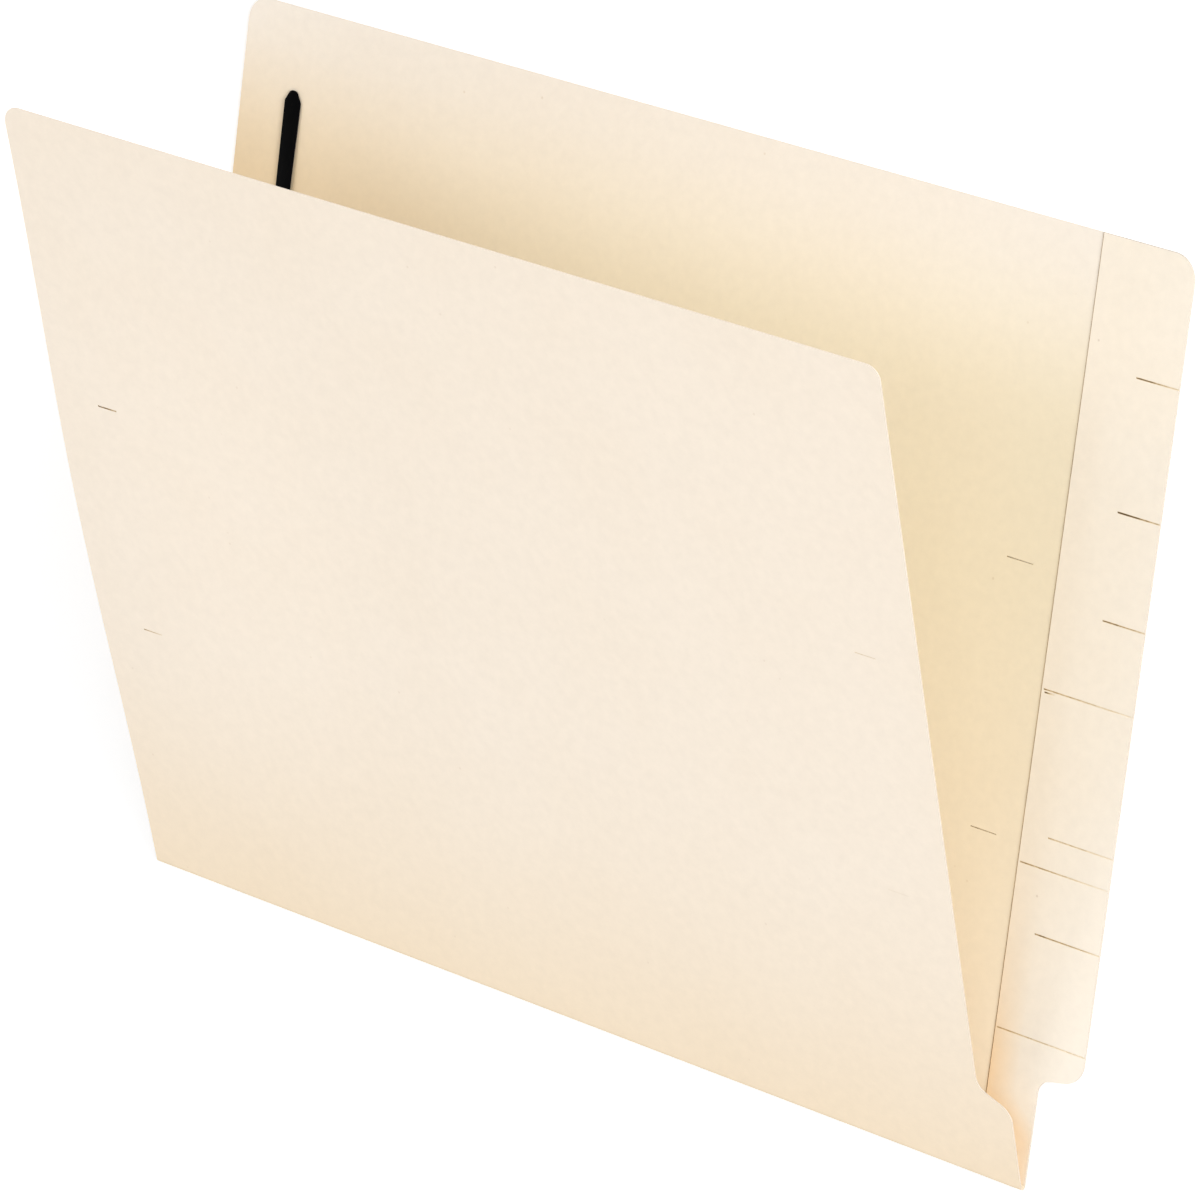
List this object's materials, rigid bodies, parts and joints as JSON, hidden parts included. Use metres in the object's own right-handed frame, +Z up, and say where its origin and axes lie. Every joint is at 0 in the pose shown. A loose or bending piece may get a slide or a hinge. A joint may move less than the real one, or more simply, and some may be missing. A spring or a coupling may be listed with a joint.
{
  "type": "end tab file folder",
  "caption": "Letter-size manila end tab file folder, slightly open, with a reinforced tab and a bendable prong fastener that holds punched papers.",
  "frame": {"origin": "middle of the back panel's outer face, which the folder lies on", "axes": "+X along the fold towards the end tab, +Y from the fold to the top edge, +Z up through the panels"},
  "size_m": [0.3112, 0.2423, 0.0915],
  "materials": {
    "manila": "matte",
    "manila_ply": "matte",
    "patch_paper": "matte",
    "coated_steel": "satin"
  },
  "bodies": {
    "back": {"back_panel": "manila", "fold_crease": "manila", "tab_reinforcement": "manila_ply", "fastener_base": "coated_steel", "fastener_patch": "patch_paper"},
    "cover": {"front_panel": "manila"},
    "upper_prong": {"upper_prong": "coated_steel"},
    "lower_prong": {"lower_prong": "coated_steel"}
  },
  "joints": [
    {"name": "cover_fold", "type": "hinge", "parent": "back", "child": "cover", "pos_m": [0, -0.12065, 0.00093], "axis": [1, 0, 0], "range_deg": [-22.3, 157.7], "deforming": ["fold_crease"]},
    {"name": "upper_prong_bend", "type": "hinge", "parent": "back", "child": "upper_prong", "pos_m": [-0.13653, 0.03492, 0.00088], "axis": [1, 0, 0], "range_deg": [0, 180], "deforming": ["upper_prong"]},
    {"name": "lower_prong_bend", "type": "hinge", "parent": "back", "child": "lower_prong", "pos_m": [-0.13653, -0.03492, 0.00071], "axis": [-1, 0, 0], "range_deg": [0, 180], "deforming": ["lower_prong"]}
  ]
}
